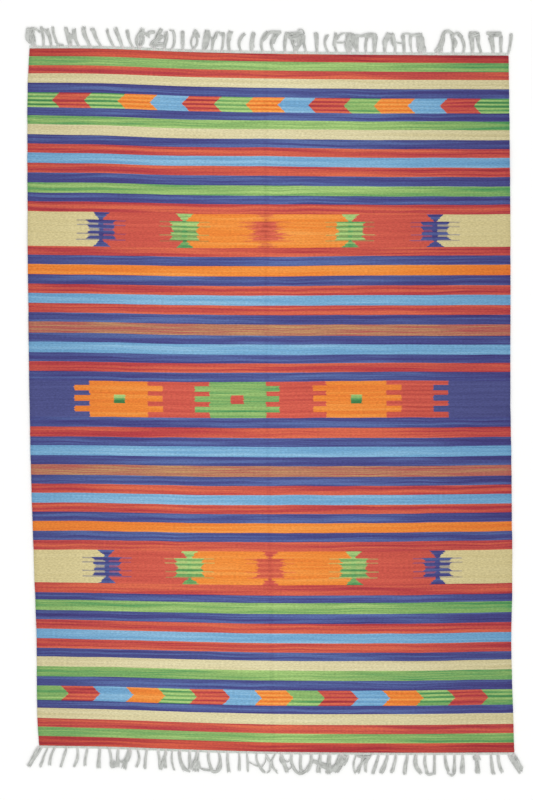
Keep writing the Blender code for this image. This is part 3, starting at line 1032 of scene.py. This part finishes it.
def addStrands(parts, points, width, shape, hole, rise, start, draw):
    # strands packed side by side along a line, loosely twisted, with ragged ends
    places, line, across = smoothLine(points, fringe["lineSteps"])
    usual = fringe["strands"] * (width / fringe["usualWidth"]) ** fringe["crowding"]
    count = max(fringe["leastStrands"], round(usual))
    (baseLength, base), (tipLength, tip) = fringe["thinBase"], fringe["thinTip"]
    twist = 0
    if not hole:
        twist = fringe["twist"] * draw.choice((-1, 1)) * draw.uniform(*fringe["twistRange"])
    for k in range(count):
        spread = math.sqrt((k + 0.5) / count)
        angle = k * goldenTurn + draw.uniform(-1, 1) * fringe["uneven"]
        last = 1 - fringe["ragged"] * draw.random() ** fringe["raggedPower"]
        s = np.linspace(0, last, fringe["strandRings"])
        radius = fringe["strandRadius"] * (1 + draw.uniform(-1, 1) * fringe["radiusChange"])
        radii = radius * np.interp(s, [0, baseLength, last - tipLength, last], [base, 1, 1, tip])
        half = mm * width / 2 * np.interp(s, *zip(*shape)) - radius
        high = fringe["halfHeight"] * np.interp(s, *zip(*standShape))
        loose = mm * fringe["loose"] * draw.uniform(-1, 1) * s**3
        turns, phase = draw.uniform(*fringe["waveRange"]), draw.uniform(*fringe["wavePhase"])
        wave = mm * fringe["wave"] * np.sin(turns * s + phase)
        sideways = half * spread * np.cos(angle + twist * s) + loose + wave
        if hole:
            _, middle, length, opening = hole
            bump = np.clip(1 - ((s - middle) / length) ** 2, 0, 1) ** fringe["holePower"]
            sideways *= 1 - fringe["holeSqueeze"] * bump
            sideways += mm * opening / 2 * bump * np.sign(math.cos(angle))
        x, y = (
            np.interp(s, places, line[:, axis]) + sideways * np.interp(s, places, across[:, axis])
            for axis in (0, 1)
        )
        z = cloth["lift"] + rise + radius + high * (1 + spread * np.sin(angle + twist * s))
        addTube(parts, np.stack([x, y, z], 1), radii, 0, start)


def addTwinedCord(parts, line, width, hand):
    # two plies that turn round each other along the end of the cloth
    turns = width / fringe["cordTurn"]
    share = np.linspace(0, 1, round(turns * fringe["stepsPerTurn"]) + 1)
    x, y = line(share)
    radius = fringe["plyRadius"]
    for ply in (0, math.pi):
        angle = hand * 2 * math.pi * turns * share + ply
        path = [x, y + radius * np.cos(angle), cloth["lift"] + radius * (2 + np.sin(angle))]
        addTube(parts, np.stack(path, 1), np.full(len(share), radius * fringe["plyPress"]), 1)


def mapFringe(mesh):
    # the fringe from above, cut in four and the lengths laid one over another
    corner, count = readAll(mesh.loops, "vertex_index"), readAll(mesh.polygons, "loop_total")
    places = readAll(mesh.vertices, "co", 3)[:, :2]
    low, high = places.min(0), places.max(0)
    cuts, margin = bakeMap["lengths"], bakeMap["margin"]
    size = (high - low) / (cuts, 1)
    length = (readAll(mesh.polygons, "center", 3)[:, 0] - low[0]) // size[0]
    length = np.repeat(np.clip(length, 0, cuts - 1), count)
    u, v = ((places[corner] - low) / size).T
    u, v = (margin + (1 - 2 * margin) * each for each in (u - length, v))
    addMap(mesh, "OFBake", u, (length + v) / cuts)


def makeFringe(name, tassels, holes, strays, end, outward, seed):
    # bunches and loose yarns beyond one end of the cloth, and the twined cords along it
    parts = {"points": [], "faces": [], "map": [], "slots": []}
    draw = random.Random(seed)
    width = sideX(end, 2) - sideX(end, 1)
    base = endLine(end, outward, fringe["gap"] + fringe["band"])
    for index, row in enumerate(tassels):
        points = bunchPoints(base(mm * row[0] / width), row, index, outward)
        hole = next((each for each in holes if each[0] == index), None)
        addStrands(parts, points, row[3], bunchShape, hole, 0, 0, draw)
    left = base(0)[0]
    for wide, *passed in strays:
        points = [(left + mm * at, base(mm * at / width)[1] + outward * mm * out) for at, out in passed]
        start = mm * max(0, passed[0][1])
        addStrands(parts, points, wide, strayShape, None, fringe["strayRise"], start, draw)
    for place, hand in zip(fringe["cordPlaces"], (1, -1, 1)):
        line = endLine(end, outward, fringe["gap"] + place * fringe["band"])
        addTwinedCord(parts, line, width, hand)

    mesh = bpy.data.meshes.new(name)
    mesh.from_pydata(np.concatenate(parts["points"]).tolist(), [], parts["faces"])
    mesh.polygons.foreach_set("material_index", np.array(parts["slots"], np.int32))
    addMap(mesh, "strand", *np.array(parts["map"]).T)
    mesh.update()
    piece = bpy.data.objects.new(name, mesh)
    bpy.context.collection.objects.link(piece)
    mesh.materials.append(bunchedWarp)
    mesh.materials.append(twinedWarp)
    bpy.ops.object.select_all(action="DESELECT")
    piece.select_set(True)
    bpy.context.view_layer.objects.active = piece
    bpy.ops.object.shade_smooth_by_angle(angle=math.radians(fringe["smoothAngle"]))
    mapFringe(mesh)
    print(name, "made:", len(mesh.polygons), "faces")
    return piece


# undyed cotton warp: sRGB colours of its usual and its shaded yarn, and of where it leaves the band
warp = {
    "bunched": ("d3d5d1", "bdbfbb", "dfd9d7"),
    "twined": ("e9eee8", "d7ddd6", "e9eee8"),
    "paleLength": 0.012,  # metres
    "blotch": 0.018,
    "blotchRange": (0.35, 0.65),  # of its noise, from the usual yarn to the shaded one
    "plies": 2,
    "plyTurn": 0.007,
    "paintedGrooveShade": 0.05,  # how much darker the twist's grooves and lighter its ridges are painted
    "meanShade": 0.97,
    "reliefHeight": 0.0004,
    "reliefStrength": 0.5,
    "roughness": 0.9,
    "sheen": 0.06,
    "specular": 0.15,
}


def spunCotton(name, look):
    # spun cotton with no dye or finish: matt and off-white, with the soft lines of its twist
    usual, shaded, pale = (linear(colour) for colour in warp[look])
    material, shader, add = newMaterial(name, warp)
    place = add("TexCoord", {}, {}, "Object")
    blotch = add("TexNoise", {}, {"Vector": place, "Scale": 1 / warp["blotch"], "Detail": 3.0})
    blotch = add("MapRange", {}, (blotch, *warp["blotchRange"], 0.0, 1.0))
    colour = add("Mix", ofColours, {0: blotch, 6: usual, 7: shaded}, 2)
    strand = add("UVMap", {"uv_map": "strand"}, {})
    around, run = (add("SeparateXYZ", {}, {"Vector": strand}, axis) for axis in "XY")
    atBase = add("MapRange", {}, (run, 0.0, warp["paleLength"], 1.0, 0.0))
    colour = add("Mix", ofColours, {0: atBase, 6: colour, 7: pale}, 2)
    twist = add("Math", timesPlus, (run, 1 / warp["plyTurn"], around))
    twist = add("Math", times, (twist, 2 * math.pi * warp["plies"]))
    twist = add("Math", sine, (twist,))
    # painted shade in the twist's grooves and painted light on its ridges, following the relief
    shade = add("Math", timesPlus, (twist, warp["paintedGrooveShade"], warp["meanShade"]))
    colour = add("VectorMath", {"operation": "SCALE"}, {0: colour, "Scale": shade})
    relief = {"Strength": warp["reliefStrength"], "Distance": warp["reliefHeight"], "Height": twist}
    material.node_tree.links.new(colour, shader.inputs["Base Color"])
    material.node_tree.links.new(add("Bump", {}, relief), shader.inputs["Normal"])
    return material


bunchedWarp = spunCotton("spun undyed cotton, bunched", "bunched")
twinedWarp = spunCotton("spun undyed cotton, twined", "twined")
# the end of the cloth, from 0 to 1, the way the fringe points along Y, and its own random numbers
fringeFar = makeFringe("fringeFar", farTassels, farHoles, farStrays, 0, 1, 5)
fringeNear = makeFringe("fringeNear", nearTassels, nearHoles, nearStrays, 1, -1, 8)
for piece, node in ((fringeFar, "fringe_far"), (fringeNear, "fringe_near")):
    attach(piece, "root")
    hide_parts(node)
